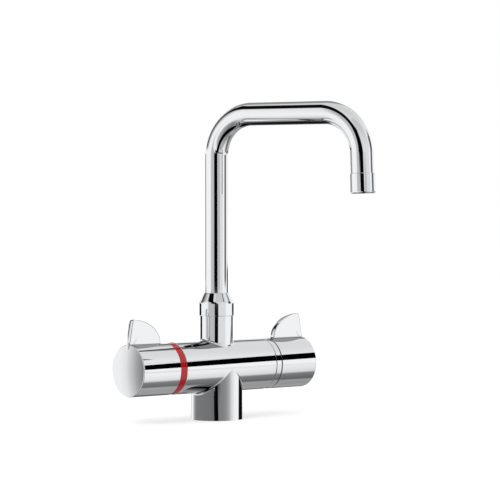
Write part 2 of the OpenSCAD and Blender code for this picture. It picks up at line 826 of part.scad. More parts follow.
mixer_body();
base_gasket();
inlet_connector(-1);  // hot_inlet_connector
inlet_connector(1);  // cold_inlet_connector
inlet_strainer(-1);  // hot_inlet_strainer
inlet_strainer(1);  // cold_inlet_strainer
check_valve_housing(-1);  // hot_check_valve_housing
check_valve_housing(1);  // cold_check_valve_housing
check_poppet(-1);  // hot_check_poppet
check_poppet(1);  // cold_check_poppet
check_spring(-1);  // hot_check_spring
check_spring(1);  // cold_check_spring
thermo_cartridge_body();
thermo_cartridge_nut();
thermo_cartridge_seals();
thermo_shuttle();
wax_element();
thermo_return_spring();
regulating_ram();
temperature_spindle();
temperature_spindle_seal();
temperature_stop_ring();
hot_indicator_ring();
temperature_knob_insert();
temperature_knob();
temperature_knob_screw();
flow_cartridge_body();
flow_cartridge_nut();
flow_cartridge_seals();
fixed_ceramic_disc();
moving_ceramic_disc();
flow_spindle();
flow_spindle_seal();
flow_stop_ring();
flow_trim_ring();
flow_knob_insert();
flow_knob();
flow_knob_screw();
spout_tube();
spout_spigot();
spout_seals();
lower_slide_ring();
upper_slide_ring();
spout_collar();
swivel_stop_screw();
nozzle_housing();
nozzle_seal();
flow_straightener();
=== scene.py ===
"""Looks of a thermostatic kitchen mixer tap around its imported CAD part.

The chromed pieces, the red ring and the coils of the springs are surfaces worked out here from the part's
own sizes, which are written in millimetres as in its source. Everything else is the CAD node with the finish
of its real material.
"""

import math

import bmesh
import bpy
import numpy as np
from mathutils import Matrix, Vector


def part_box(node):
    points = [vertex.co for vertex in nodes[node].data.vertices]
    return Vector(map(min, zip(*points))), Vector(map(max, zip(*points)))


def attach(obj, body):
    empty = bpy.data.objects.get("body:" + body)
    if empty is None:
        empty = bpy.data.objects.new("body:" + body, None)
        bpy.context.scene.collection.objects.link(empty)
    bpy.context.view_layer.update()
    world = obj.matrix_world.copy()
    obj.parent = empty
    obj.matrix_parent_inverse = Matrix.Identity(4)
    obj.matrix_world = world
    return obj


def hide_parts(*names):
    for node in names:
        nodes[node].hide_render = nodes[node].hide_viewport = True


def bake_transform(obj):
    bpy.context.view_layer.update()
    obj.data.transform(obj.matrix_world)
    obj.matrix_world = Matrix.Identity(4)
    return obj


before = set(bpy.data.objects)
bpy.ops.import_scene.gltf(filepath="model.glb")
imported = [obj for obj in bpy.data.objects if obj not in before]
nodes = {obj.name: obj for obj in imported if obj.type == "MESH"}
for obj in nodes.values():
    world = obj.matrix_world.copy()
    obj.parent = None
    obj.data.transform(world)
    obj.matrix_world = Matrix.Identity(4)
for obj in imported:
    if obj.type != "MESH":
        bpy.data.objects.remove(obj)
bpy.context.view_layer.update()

MM = 0.001
# Points once round a turned surface, round the slimmer spout, and round and along one turn of a spring's wire
SIDES = 192
SPOUT_SIDES = 128
WIRE_SIDES = 12
COIL_STEPS = 24
# Steps of a turned surface in a quarter of a turn
QUARTER = SIDES // 4
# Play between pieces that fit into each other, and between a grub screw and its drawn hole
FIT_GAP = 0.1
SCREW_GAP = 0.02
# Points nearer than this, in metres, are one point, and edges that turn more than this are drawn sharp
MERGE = 2e-6
SHARP_ANGLE = math.radians(32)

# Body
BODY_R = 25.0
BARREL_HALF = 56.25
PEDESTAL_R = 24.9
AXIS_H = 51.5
BOSS_R = 15.7
BOSS_TOP = 100.5
CASTING_FILLET = 3.0
BOSS_FILLET = 2.2
END_ROUND = 0.6
PLATING = 0.02
SKIN_DEPTH = 0.9
INLET_X = 11.0
STOP_SCREW_Z = 78.25
STOP_SCREW_R = 2.0

# Rings beside the barrel
RING_R = 24.75
RING_START = BARREL_HALF + FIT_GAP
RING_END = BARREL_HALF + 7.0
RING_STEP = 61.35
RING_ROUND = 0.4
SPIGOT_R = 18.9
STOP_RING_R = 18.0
# The trim ring is this much narrower at each side than in the CAD, so that its grooves read as dark lines
TRIM_GROOVE = 0.35

# Knobs
KNOB_START = RING_END + 0.35
KNOB_END = KNOB_START + 44.4
DOME_H = 2.0
KNOB_WALL = 2.5
KNOB_FLOOR = 4.5
RIM_ROUND = 0.8
CUP_ROUND = 0.8
HUB_R = 11.0
HUB_BORE_R = 8.0
HUB_FOOT = 74.0
HUB_FLOOR = 90.1
KNOB_SCREW_Z = 81.0
KNOB_SCREW_R = 2.5
KNOB_SCREW_DEPTH = 2.3
WING_L = 37.5
WING_H = 23.5
WING_T = 6.0
WING_LEAN = 4.2
WING_PROUD = 0.7
WING_CORNER = 2.0
WING_EDGE = 1.0
WING_BEND = 1.5
WING_FILLET = 0.9

# Spout
TUBE_R = 11.0
TUBE_BORE_R = 9.5
TUBE_FOOT = 90.0
SPOUT_REACH = 160.0
RUN_H = 295.5
BEND_R = 40.0
BEND_STEPS = 48
OUTLET_LEAN = math.radians(2.0)
OUTLET_DROP = 76.5
SPOUT_TURN = math.radians(18.0 - 90.0)
NOZZLE_R = 11.75
NOZZLE_L = 19.0
NOZZLE_BORE_R = 10.4
NOZZLE_LEDGE = 1.5
TUBE_IN_NOZZLE = 5.0

# Collar
COLLAR_R = 16.6
COLLAR_TOP_R = TUBE_R + 1.5
COLLAR_H = 22.2
# Above its skirt the collar is a cone, where the CAD has a shallow dome less than half a millimetre away
COLLAR_SKIRT = 13.2
COLLAR_BORE_R = 12.4
COLLAR_LIP_Z = 111.0
COLLAR_THREAD_R = 13.9
COLLAR_NECK = 7.0

# Camera, as the photograph was taken
CAMERA_PLACE = (-1.4918, -1.8112, 0.2126)
CAMERA_AZIMUTH = math.radians(40.27)
CAMERA_PITCH = math.radians(-1.18)
CAMERA_LENS = 173.95


def unit(v):
    """Each vector of the array divided by its own length."""
    return v / np.linalg.norm(v, axis=-1, keepdims=True)


def round_angles(sides):
    """Angles of equal steps once round a circle, without the last, which is the first again."""
    return np.arange(sides) * 2 * math.pi / sides


def rounded_profile(corners, steps=6, hold=0.12):
    """A line through (x, y, radius) corners. A corner becomes the arc that touches both its sides: its centre
    lies radius / sin(half angle) from the corner along the bisector. A point just outside each end of the arc
    keeps the flats flat."""
    place = np.array([c[:2] for c in corners], float)
    line = []
    for i, r in enumerate(c[2] for c in corners):
        if r == 0:
            line.append(place[i][None])
            continue
        back = unit(place[i - 1] - place[i])
        ahead = unit(place[(i + 1) % len(place)] - place[i])
        half = math.acos(np.clip(back @ ahead, -1, 1)) / 2
        reach = r / math.tan(half)
        centre = place[i] + unit(back + ahead) * r / math.sin(half)
        first, last = place[i] + back * reach - centre, place[i] + ahead * reach - centre
        start = math.atan2(first[1], first[0])
        turn = (math.atan2(last[1], last[0]) - start + math.pi) % (2 * math.pi) - math.pi
        a = start + turn * np.linspace(0, 1, steps + 1)
        arc = centre + r * np.stack([np.cos(a), np.sin(a)], -1)
        before, after = place[i] + back * (reach + hold), place[i] + ahead * (reach + hold)
        line += [before[None], arc, after[None]]
    return np.concatenate(line)


def turned(profile, sides=SIDES):
    """Surface of revolution: the profile's point (r, z) turned by a lies at (r cos a, r sin a, z)."""
    a = round_angles(sides)
    r, z = profile[:, 0, None], profile[:, 1, None]
    return np.stack([r * np.cos(a), r * np.sin(a), z + 0 * a], -1)


def hot_side(p):
    """From the knob's own frame, z outwards and x up, to the hot end of the barrel."""
    return np.stack([-p[..., 2], p[..., 1], p[..., 0] + AXIS_H], -1)


def flow_side(p):
    """The same at the flow end."""
    return np.stack([p[..., 2], -p[..., 1], p[..., 0] + AXIS_H], -1)


def spout_side(p):
    """Turns the spout's own frame, where the spout points along x, about the swivel axis."""
    c, s = math.cos(SPOUT_TURN), math.sin(SPOUT_TURN)
    return np.stack([c * p[..., 0] - s * p[..., 1], s * p[..., 0] + c * p[..., 1], p[..., 2]], -1)


def outlet(p):
    """From the nozzle's own frame, z up along the leaning outlet, to the end of the spout."""
    c, s = math.cos(OUTLET_LEAN), math.sin(OUTLET_LEAN)
    x = SPOUT_REACH + c * p[..., 0] - s * p[..., 2]
    return spout_side(np.stack([x, p[..., 1], RUN_H + s * p[..., 0] + c * p[..., 2]], -1))


def grid_faces(rows, columns, closed_rows, closed_columns, skip=None):
    """Four-cornered faces between neighbouring points of a grid, without the cells that skip names."""
    index = np.arange(rows * columns).reshape(rows, columns)
    if closed_rows:
        index = np.vstack([index, index[:1]])
    if closed_columns:
        index = np.hstack([index, index[:, :1]])
    cells = np.stack([index[:-1, :-1], index[1:, :-1], index[1:, 1:], index[:-1, 1:]], -1)
    keep = np.ones(cells.shape[:2], bool)
    if skip is not None:
        keep[skip] = False
    return cells[keep]


def placed(name, data):
    """New object in the scene that shows a mesh, lamp or camera."""
    item = bpy.data.objects.new(name, data)
    bpy.context.scene.collection.objects.link(item)
    return item


def make_piece(name, body, material, grids, replaces=()):
    """One mesh from grids of points, each with (closed rows, closed columns, skipped cells). Points that meet
    are merged, which also closes the poles, and the faces are turned outwards. body is the name of the body
    that the piece rides on. Any other value, such as the bodies and points that a spring hands over, is not
    used, and the piece stays where it was made, on no body."""
    points, faces, first = [], [], 0
    for grid, *how in grids:
        points.append(grid.reshape(-1, 3) * MM)
        faces.append(grid_faces(*grid.shape[:2], *how) + first)
        first += grid.shape[0] * grid.shape[1]
    used, corners = np.unique(np.concatenate(faces), return_inverse=True)
    mesh = bpy.data.meshes.new(name)
    mesh.from_pydata(np.concatenate(points)[used], [], corners.reshape(-1, 4))
    work = bmesh.new()
    work.from_mesh(mesh)
    bmesh.ops.remove_doubles(work, verts=work.verts, dist=MERGE)
    bmesh.ops.recalc_face_normals(work, faces=work.faces)
    work.to_mesh(mesh)
    work.free()
    mesh.shade_smooth()
    mesh.set_sharp_from_angle(angle=SHARP_ANGLE)
    mesh.materials.append(material)
    piece = placed(name, mesh)
    if isinstance(body, str):
        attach(piece, body)
    else:
        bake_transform(piece)
    if replaces:
        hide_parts(*replaces)


def linear(code):
    """A colour written as sRGB hex, as linear light."""
    c = [int(code[i : i + 2], 16) / 255 for i in (1, 3, 5)]
    return tuple(v / 12.92 if v <= 0.04045 else ((v + 0.055) / 1.055) ** 2.4 for v in c) + (1.0,)


def empty_tree(owner):
    """Node tree of a material or world, with nothing in it."""
    owner.use_nodes = True
    owner.node_tree.nodes.clear()
    return owner.node_tree


def add(tree, kind, settings=None, links=None):
    """Adds a node, sets its properties or input values by name, and links other nodes' outputs to its
    inputs."""
    node = tree.nodes.new(kind)
    for key, value in (settings or {}).items():
        if isinstance(key, str) and hasattr(node, key):
            setattr(node, key, value)
        else:
            node.inputs[key].default_value = value
    for key, output in (links or {}).items():
        tree.links.new(output, node.inputs[key])
    return node


def finish(name, dark, light, rough, relief, marks, centre=(0, 0, 0), settings=None):
    """The finish of a surface from the marks that its making left. Each mark is (pattern, look, size,
    share): one unit of the pattern is as long as the size says along x, y and z, in mm, from the centre.
    Together the marks set the tone from dark to light, the roughness between its two values and the height
    up to relief, in mm."""
    material = bpy.data.materials.new(name)
    tree = empty_tree(material)
    place = add(tree, "ShaderNodeTexCoord").outputs["Object"]
    total = None
    for pattern, look, size, share in marks:
        fit = {
            "vector_type": "TEXTURE",
            "Location": [v * MM for v in centre],
            "Scale": [v * MM for v in size],
        }
        spot = add(tree, "ShaderNodeMapping", fit, {"Vector": place})
        value = add(tree, pattern, look, {"Vector": spot.outputs["Vector"]}).outputs[0]
        links = {0: value} if total is None else {0: value, 2: total}
        total = add(tree, "ShaderNodeMath", {"operation": "MULTIPLY_ADD", 1: share}, links).outputs[0]
    # The patterns keep mostly to their middle half, which is stretched to the whole range
    middle_half = {"From Min": 0.25, "From Max": 0.75}
    spread = add(tree, "ShaderNodeMapRange", middle_half, {"Value": total}).outputs["Result"]
    colours = {"data_type": "RGBA", 6: linear(dark), 7: linear(light)}
    tone = add(tree, "ShaderNodeMix", colours, {0: spread})
    haze = add(tree, "ShaderNodeMapRange", {"To Min": rough[0], "To Max": rough[1]}, {"Value": spread})
    bump = add(tree, "ShaderNodeBump", {"Distance": relief * MM}, {"Height": spread})
    links = {
        "Base Color": tone.outputs[2],
        "Roughness": haze.outputs["Result"],
        "Normal": bump.outputs["Normal"],
    }
    shader = add(tree, "ShaderNodeBsdfPrincipled", settings, links)
    add(tree, "ShaderNodeOutputMaterial", None, {"Surface": shader.outputs["BSDF"]})
    return material


NOISE, WAVE, CELLS = "ShaderNodeTexNoise", "ShaderNodeTexWave", "ShaderNodeTexVoronoi"
METAL = {"Metallic": 1.0}
GRAIN = {"Scale": 1.0, "Detail": 3.0}
# A wave of this scale repeats once in each unit
ONE_TURN = 0.05 * 2 * math.pi


def turned_metal(name, dark, light, axis, centre):
    """Turned or faced metal: satin, with the tool's fine rings round its axis. The real feed is about 0.1 mm;
    the rings are drawn 0.45 mm apart so that they show."""
    rings = {"wave_type": "RINGS", "rings_direction": axis, "Scale": ONE_TURN, "Distortion": 0.6}
    steps = {"wave_type": "BANDS", "bands_direction": axis, "Scale": ONE_TURN, "Distortion": 0.6}
    pitch = (0.45, 0.45, 0.45)
    marks = [(WAVE, rings, pitch, 0.35), (WAVE, steps, pitch, 0.35), (NOISE, GRAIN, (0.3, 0.3, 0.3), 0.3)]
    return finish(name, dark, light, (0.2, 0.36), 0.006, marks, centre, METAL)


# Bright chromium over nickel on polished brass: a clear, cold mirror with the faintest waviness from
# polishing
chrome = finish(
    "bright_chromium_plate", "#ECEEF0", "#F1F2F4", (0.012, 0.03), 0.006,
    [(NOISE, {"Scale": 1.0, "Detail": 1.0}, (7, 7, 7), 0.85), (NOISE, GRAIN, (0.2, 3, 3), 0.15)],
    settings=METAL,
)
# ABS coloured through and moulded in a polished tool: deep red and glossy, with a trace of sink and flow
red_abs = finish(
    "glossy_moulded_red_abs", "#9C0A13", "#B9101B", (0.07, 0.13), 0.01,
    [(NOISE, GRAIN, (6, 6, 6), 0.6), (NOISE, GRAIN, (0.4, 0.4, 0.4), 0.4)],
    settings={"IOR": 1.54},
)
# Brass casting faced on a lathe where it meets the deck: warm yellow, satin, with open rings
machined_casting = turned_metal("faced_brass_casting", "#A9823F", "#D3AE6C", "Z", (0, 0, 0))
# Free-cutting brass turned from bar: warm yellow rings that catch the light
BAR = ("#B08A48", "#DDBB7A")
barrel_brass = turned_metal("turned_brass_along_the_barrel", *BAR, "X", (0, 0, AXIS_H))
swivel_brass = turned_metal("turned_brass_of_the_swivel", *BAR, "Z", (0, 0, 0))
hot_brass = turned_metal("turned_brass_of_the_hot_inlet", *BAR, "Z", (-INLET_X, 0, 0))
cold_brass = turned_metal("turned_brass_of_the_cold_inlet", *BAR, "Z", (INLET_X, 0, 0))
# Stainless steel drawn to wire or turned to a grub screw: grey, with draw lines that scatter the light a
# little
steel = finish(
    "drawn_stainless_steel", "#8F9296", "#C3C6C9", (0.16, 0.3), 0.004,
    [(NOISE, GRAIN, (0.25, 1.5, 0.25), 0.5), (NOISE, GRAIN, (1.5, 0.25, 0.25), 0.5)],
    settings=METAL,
)
# Acetal moulded or turned: milky white and waxy
acetal = finish(
    "white_moulded_acetal", "#DEDED6", "#F1F1EC", (0.28, 0.42), 0.01,
    [(NOISE, GRAIN, (1.5, 1.5, 1.5), 0.5), (NOISE, GRAIN, (0.2, 0.2, 0.2), 0.5)],
    settings={"IOR": 1.48},
)
# Nylon with short glass fibres: mid grey and dull, with flecks where fibres lie at the skin
nylon = finish(
    "grey_glass_filled_nylon", "#74787D", "#9EA3A8", (0.38, 0.56), 0.015,
    [(NOISE, GRAIN, (0.12, 0.12, 0.8), 0.6), (CELLS, {"Scale": 1.0}, (0.5, 0.5, 0.5), 0.4)],
    settings={"IOR": 1.53},
)
# EPDM rubber from a mould: near black, matt, with a fine pebbled skin
rubber = finish(
    "black_moulded_epdm", "#131315", "#26262A", (0.55, 0.75), 0.02,
    [(CELLS, {"Scale": 1.0}, (0.25, 0.25, 0.25), 0.6), (NOISE, GRAIN, (2, 2, 2), 0.4)],
    settings={"IOR": 1.5},
)
# Alumina lapped flat: ivory white, nearly a mirror at a low angle
alumina = finish(
    "lapped_alumina", "#E6E1D3", "#F7F4EC", (0.08, 0.16), 0.001,
    [(NOISE, GRAIN, (0.08, 0.08, 0.08), 1.0)],
    settings={"IOR": 1.76},
)
# Copper drawn to a cup: salmon pink, with long draw lines
copper = finish(
    "drawn_copper", "#A8613F", "#D79371", (0.2, 0.34), 0.004,
    [(NOISE, GRAIN, (3, 0.2, 0.2), 1.0)],
    settings=METAL,
)

NODE_FINISH = {
    machined_casting: ["mixer_body"],
    chrome: [
        "spout_collar", "spout_tube", "nozzle_housing", "temperature_knob", "flow_knob", "flow_trim_ring",
    ],
    red_abs: ["hot_indicator_ring"],
    barrel_brass: [
        "thermo_cartridge_nut", "flow_cartridge_nut", "flow_cartridge_body", "thermo_shuttle",
        "regulating_ram", "temperature_spindle", "flow_spindle",
    ],
    swivel_brass: ["spout_spigot"],
    hot_brass: ["hot_inlet_connector"],
    cold_brass: ["cold_inlet_connector"],
    steel: [
        "hot_check_spring", "cold_check_spring", "thermo_return_spring", "temperature_knob_screw",
        "flow_knob_screw", "swivel_stop_screw",
    ],
    acetal: [
        "hot_check_valve_housing", "cold_check_valve_housing", "thermo_cartridge_body",
        "temperature_stop_ring", "flow_stop_ring", "lower_slide_ring", "upper_slide_ring",
    ],
    nylon: [
        "hot_inlet_strainer", "cold_inlet_strainer", "hot_check_poppet", "cold_check_poppet",
        "temperature_knob_insert", "flow_knob_insert", "flow_straightener",
    ],
    rubber: [
        "base_gasket", "thermo_cartridge_seals", "flow_cartridge_seals", "temperature_spindle_seal",
        "flow_spindle_seal", "spout_seals", "nozzle_seal",
    ],
    alumina: ["fixed_ceramic_disc", "moving_ceramic_disc"],
    copper: ["wax_element"],
}
for material, names in NODE_FINISH.items():
    for name in names:
        nodes[name].data.materials.clear()
        nodes[name].data.materials.append(material)


def upright(r, turn, z):
    """Points of an upright cylinder: (r cos turn, r sin turn, z)."""
    r, turn, z = np.broadcast_arrays(r, turn, z)
    return np.stack([r * np.cos(turn), r * np.sin(turn), z], -1)


def ball_arc(centre, first, last, r, steps):
    """The arc about each centre from the direction first to the direction last, both of length 1: on the
    way v it points along (sin((1 - v) w) first + sin(v w) last) / sin w, with w the angle between them."""
    w = np.arccos(np.clip((first * last).sum(-1), -1, 1)).clip(1e-4)[None, :, None]
    v = np.linspace(0, 1, steps + 1)[:, None, None]
    return centre + r * (np.sin((1 - v) * w) * first + np.sin(v * w) * last) / np.sin(w)


def rolled_corner(turn, arm_r, fillet, upwards, depth, steps=10):
    """The fillet between an upright arm and the barrel, as a ball of radius f rolls round in the corner.
    At each turn its centre lies (arm_r + f) out and sqrt((barrel_r + f)^2 - y^2) above or below the
    barrel's axis, and the fillet is the arc from where it touches the arm to where it touches the barrel.
    depth gives the surface that much further in. Rows run from the arm to the barrel, columns round the
    arm."""
    a, b, f = arm_r + PLATING - depth, BODY_R + PLATING - depth, fillet - PLATING + depth
    centre = upright(a + f, turn, 0.0)
    centre[:, 2] = upwards * np.sqrt((b + f) ** 2 - centre[:, 1] ** 2)
    on_arm = upright(a, turn, centre[:, 2])
    on_barrel = centre * [1, b / (b + f), b / (b + f)]
    return ball_arc(centre, (on_arm - centre) / f, (on_barrel - centre) / f, f, steps) + [0, 0, AXIS_H]


def round_hole(turn, z, face_r, hole_r, half_turn, half_z, steps, walls):
    """Ring of cells from a rectangle on an upright cylinder in to a round hole: row by row the points go from
    the rectangle's edge (share 1) to the circle (share 0) or its middle (share -1), each at its own distance
    from the axis. The rectangle has the cylinder's own steps, so both share their points."""
    across, along = steps
    side = np.linspace(-1, 1, along + 1)[1:-1]
    low, high = -np.ones(across + 1), np.ones(across + 1)
    left, right = -np.ones(along - 1), np.ones(along - 1)
    u = np.concatenate([np.linspace(-1, 1, across + 1), right, np.linspace(1, -1, across + 1), left])
    w = np.concatenate([low, side, high, -side])
    edge = np.stack([u * half_turn * face_r, w * half_z], -1)
    circle = hole_r * unit(edge)
    rows = []
    for share, r in walls:
        place = share * edge + (1 - share) * circle if share >= 0 else 0 * edge
        rows.append(upright(r, turn + place[:, 0] / face_r, z + place[:, 1]))
    return np.stack(rows)


def casting_skin():
    """The casting's plated outside, as one closed shell: the pedestal and the boss, each with the fillet
    that a rolling ball leaves at the barrel, and from their edges straight lines along the barrel to both
    ends, round the edge and back inside. The grub screw's hole goes through the back of the boss."""
    turn = round_angles(SIDES)
    layers = (0, SKIN_DEPTH)
    pedestal = [rolled_corner(turn, PEDESTAL_R, CASTING_FILLET, -1, d) for d in layers]
    boss = [rolled_corner(turn, BOSS_R, BOSS_FILLET, 1, d) for d in layers]
    outer, inner = (PEDESTAL_R + PLATING - d for d in layers)
    foot = upright([[inner], [outer]], turn, PLATING)
    lower = np.concatenate([pedestal[1][::-1], foot, pedestal[0]])
    # Cells left out above and below the grub screw, half a millimetre each, and to either side of it
    around, beside = 6, 6
    half_z = around / 2
    beside_screw = np.linspace(STOP_SCREW_Z - half_z, STOP_SCREW_Z + half_z, 2 * around + 1)
    heights = np.concatenate([beside_screw, [90.0, 100.0, BOSS_TOP]])[:, None]
    outer, inner = (BOSS_R + PLATING - d for d in layers)
    inside, outside = upright(inner, turn, heights), upright(outer, turn, heights[::-1])
    upper = np.concatenate([boss[1][::-1], inside, outside, boss[0]])
    hole = np.zeros((len(upper) - 1, SIDES), bool)
    for first in (len(boss[1]), len(upper) - len(boss[0]) - len(beside_screw)):
        hole[first : first + 2 * around, QUARTER - beside : QUARTER + beside] = True
    walls = [(1, outer), (0.5, outer), (0, outer), (0, inner), (0.5, inner), (1, inner)]
    screw_hole = round_hole(
        math.pi / 2, STOP_SCREW_Z, BOSS_R, STOP_SCREW_R + SCREW_GAP,
        beside * turn[1], half_z, (2 * beside, 2 * around), walls,
    )
    # Where each line along the barrel starts, once round: under it, behind, on top and in front
    front_to_back = np.arange(-QUARTER, QUARTER + 1) % SIDES
    starts = []
    for depth, below, above in zip(layers, (part[-1] for part in pedestal), (part[-1] for part in boss)):
        r = BODY_R + PLATING - depth
        low = math.asin((below[QUARTER, 2] - AXIS_H) / r)
        high = math.asin((above[QUARTER, 2] - AXIS_H) / r)
        a = np.linspace(low, high, 30)[1:-1]
        back = np.stack([0 * a, r * np.cos(a), AXIS_H + r * np.sin(a)], -1)
        front = back[::-1] * [1, -1, 1]
        starts.append(np.concatenate([below[front_to_back], back, above[front_to_back[::-1]], front]))
    skin, lining = starts
    share = np.array([0, 0.012, 0.1, 0.3, 0.6, 0.9, 0.99, 1])[:, None, None]
    flat_end, lining_end = BARREL_HALF - END_ROUND, BARREL_HALF - 0.3
    run = skin * (1 - share) + (skin * [0, 1, 1] + [flat_end, 0, 0]) * share
    back = lining * (1 - share[::-1]) + (lining * [0, 1, 1] + [lining_end, 0, 0]) * share[::-1]
    a = np.radians([0, 18, 36, 54, 72, 90])[:, None, None]
    shrink = 1 - END_ROUND / (BODY_R + PLATING) * (1 - np.cos(a))
    across = (skin - [0, 0, AXIS_H]) * [0, 1, 1] * shrink + [0, 0, AXIS_H]
    rim = across + [1, 0, 0] * (flat_end + END_ROUND * np.sin(a))
    barrel = np.concatenate([run, rim[1:], back])
    return [
        (lower, False, True), (upper, False, True, hole), (screw_hole, False, True),
        (barrel, False, True), (barrel * [-1, 1, 1], False, True),
    ]


def ring(outwards, groove=0):
    """Ring between barrel and knob: its stepped section turned round the barrel's axis, set back by the
    groove at both sides."""
    start, end = RING_START + groove, RING_END - groove
    corners = [
        (RING_R, start, RING_ROUND), (RING_R, end, RING_ROUND),
        (STOP_RING_R + FIT_GAP, end, 0), (STOP_RING_R + FIT_GAP, RING_STEP, 0),
        (SPIGOT_R + FIT_GAP, RING_STEP, 0), (SPIGOT_R + FIT_GAP, start, 0),
    ]
    return [(outwards(turned(rounded_profile(corners, 8))), True, True)]


def knob(outwards):
    """Knob in its own frame, z outwards and x up: a domed cup with its hub and the pocket of its grub
    screw, a wing and the fillet at the wing's foot. A dome of height h over a disc of radius R belongs to
    a ball of radius (R^2 + h^2) / 2h."""
    dome_r = (BODY_R**2 + DOME_H**2) / (2 * DOME_H)
    r = np.array([0, 1, 3, 6, 9, 12, 15, 18, 20.5, 22.5])
    dome = np.stack([r, KNOB_END + DOME_H - dome_r + np.sqrt(dome_r**2 - r**2), 0 * r], -1)
    # Cells left out before and behind the grub screw, a millimetre each, and to either side of it
    along, beside = 4, 5
    beside_screw = KNOB_SCREW_Z + np.arange(along, -along - 1, -1)
    inside, floor = BODY_R - KNOB_WALL, KNOB_END - KNOB_FLOOR
    cup = [*dome, (BODY_R, KNOB_END, RIM_ROUND)]
    cup += [(BODY_R, z, 0) for z in (98.0, 90.0, *beside_screw, 70.0)]
    cup += [
        (BODY_R, KNOB_START, RING_ROUND), (inside, KNOB_START, 0.2), (inside, floor, CUP_ROUND),
        (HUB_R, floor, CUP_ROUND), (HUB_R, HUB_FOOT, 0.3), (HUB_BORE_R, HUB_FOOT, 0.2),
        (HUB_BORE_R, HUB_FLOOR, 0), (0, HUB_FLOOR, 0),
    ]
    profile = rounded_profile(cup, 8)
    first = int(np.argmin(np.abs(profile - [BODY_R, beside_screw[0]]).sum(-1)))
    pocket = np.zeros((len(profile) - 1, SIDES), bool)
    pocket[first : first + 2 * along, 2 * QUARTER - beside : 2 * QUARTER + beside] = True
    bottom = BODY_R - KNOB_SCREW_DEPTH
    walls = [(1, BODY_R), (0.5, BODY_R), (0, BODY_R), (0, bottom), (-1, bottom)]
    screw = round_hole(
        math.pi, KNOB_SCREW_Z, BODY_R, KNOB_SCREW_R + SCREW_GAP,
        beside * round_angles(SIDES)[1], along, (2 * beside, 2 * along), walls,
    )
    shapes = [
        (turned(profile), False, True, pocket), (screw, False, True),
        (wing(), True, False), (wing_foot(), False, True),
    ]
    return [(outwards(grid), *how) for grid, *how in shapes]


def wing():
    """Wing, a slab whose rounded edge is carried round its outline. Flats fan out from a middle point each
    side. The outer edge bends smoothly from its lean to the dome: z = foot - lean h / l, where h is half of
    d + sqrt(d^2 + b^2), d the height over the knob, b the softness of the bend and l the wing's height.
    """
    # The wing stands in the knob's wall, and deeper where it meets the dome
    root, dome_root = BODY_R - KNOB_WALL / 2, BODY_R - 5.5
    foot, high = KNOB_END + WING_PROUD, BODY_R + WING_H
    top = foot - WING_LEAN
    a = np.radians(np.linspace(94, 180, 40))
    crown = np.stack([top + (WING_L - WING_LEAN) * np.cos(a), BODY_R + WING_H * np.sin(a)], -1)
    b = np.radians(np.linspace(0, 84, 9))
    corner = [top, high] + WING_CORNER * (np.stack([np.cos(b), np.sin(b)], -1) - 1)
    low_edge, high_edge = np.linspace(dome_root, BODY_R + 4, 14), np.linspace(BODY_R + 8, corner[0, 1], 5)
    x = np.concatenate([low_edge, high_edge[:-1]])
    d = x - BODY_R
    lean = WING_LEAN * (d + np.sqrt(d**2 + WING_BEND**2)) / 2 / (high - BODY_R)
    edge = np.stack([foot - lean, x], -1)
    down = np.linspace(0, 1, 4)[1:, None]
    toe = crown[-1] * (1 - down) + np.array([foot - WING_L, root]) * down
    hidden = [[KNOB_END - 3.5, root], [KNOB_END - 1.5, dome_root]]
    line = np.concatenate([edge, corner, crown, toe, hidden])
    along = unit(np.gradient(line, axis=0))
    inward = np.stack([-along[:, 1], along[:, 0]], -1)
    # The points inside the knob lean towards the middle instead, so that the flats don't fold
    middle, sunk = np.array([foot - 9.0, root + 8.0]), [0, -4, -3, -2, -1]
    inward[sunk] = unit(middle - line[sunk])
    c = np.radians(np.linspace(-90, 90, 11))
    flat = [WING_EDGE + 0.12]
    inset = np.concatenate([flat, WING_EDGE * (1 - np.cos(c)), flat])
    rim = line[:, None] + inward[:, None] * inset[None, :, None]
    middle = np.broadcast_to(middle, (len(line), 1, 2))
    halfway = [(middle + rim[:, end]) / 2 for end in (slice(0, 1), slice(-1, None))]
    section = np.concatenate([middle, halfway[0], rim, halfway[1], middle], 1)
    half = WING_T / 2
    bulge = np.sign(c) * (half - WING_EDGE) + WING_EDGE * np.sin(c)
    y = np.concatenate([[-half] * 3, bulge, [half] * 3])
    return np.stack([section[..., 1], y + 0 * section[..., 0], section[..., 0]], -1)


